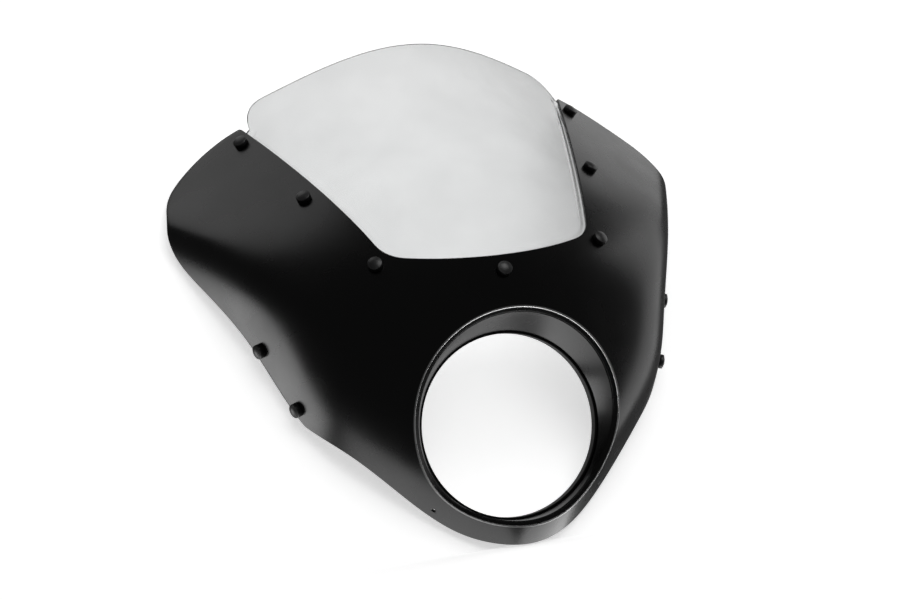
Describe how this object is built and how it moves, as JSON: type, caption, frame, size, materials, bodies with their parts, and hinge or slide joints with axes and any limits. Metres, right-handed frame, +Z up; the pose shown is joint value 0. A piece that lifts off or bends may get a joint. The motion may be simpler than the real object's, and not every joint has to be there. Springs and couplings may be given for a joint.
{
  "type": "headlight cowl",
  "caption": "Motorcycle headlight cowl: a black plastic quarter fairing with a formed round headlight tunnel, side skirts and a clear stepped windscreen held by capped screws.",
  "frame": {"origin": "centre of the headlight opening at its rear edge", "axes": "+Z up as mounted, the front faces -Y, the headlight axis is the Y axis and X = 0 is the plane of symmetry"},
  "size_m": [0.4908, 0.2459, 0.461],
  "materials": {
    "cowl_black": "satin",
    "clear_screen": "clear",
    "trim_rubber": "matte",
    "cap_black": "satin",
    "bright_steel": "bright",
    "bush_nylon": "matte",
    "washer_rubber": "matte"
  },
  "bodies": {
    "root": {"cowl_shell": "cowl_black", "windscreen": "clear_screen", "headlight_trim": "trim_rubber", "screen_caps": "cap_black", "screen_screws": "bright_steel", "screen_bushes": "bush_nylon", "screen_nuts": "bright_steel", "side_caps": "cap_black", "side_screws": "bright_steel", "side_washers": "washer_rubber"}
  },
  "joints": []
}
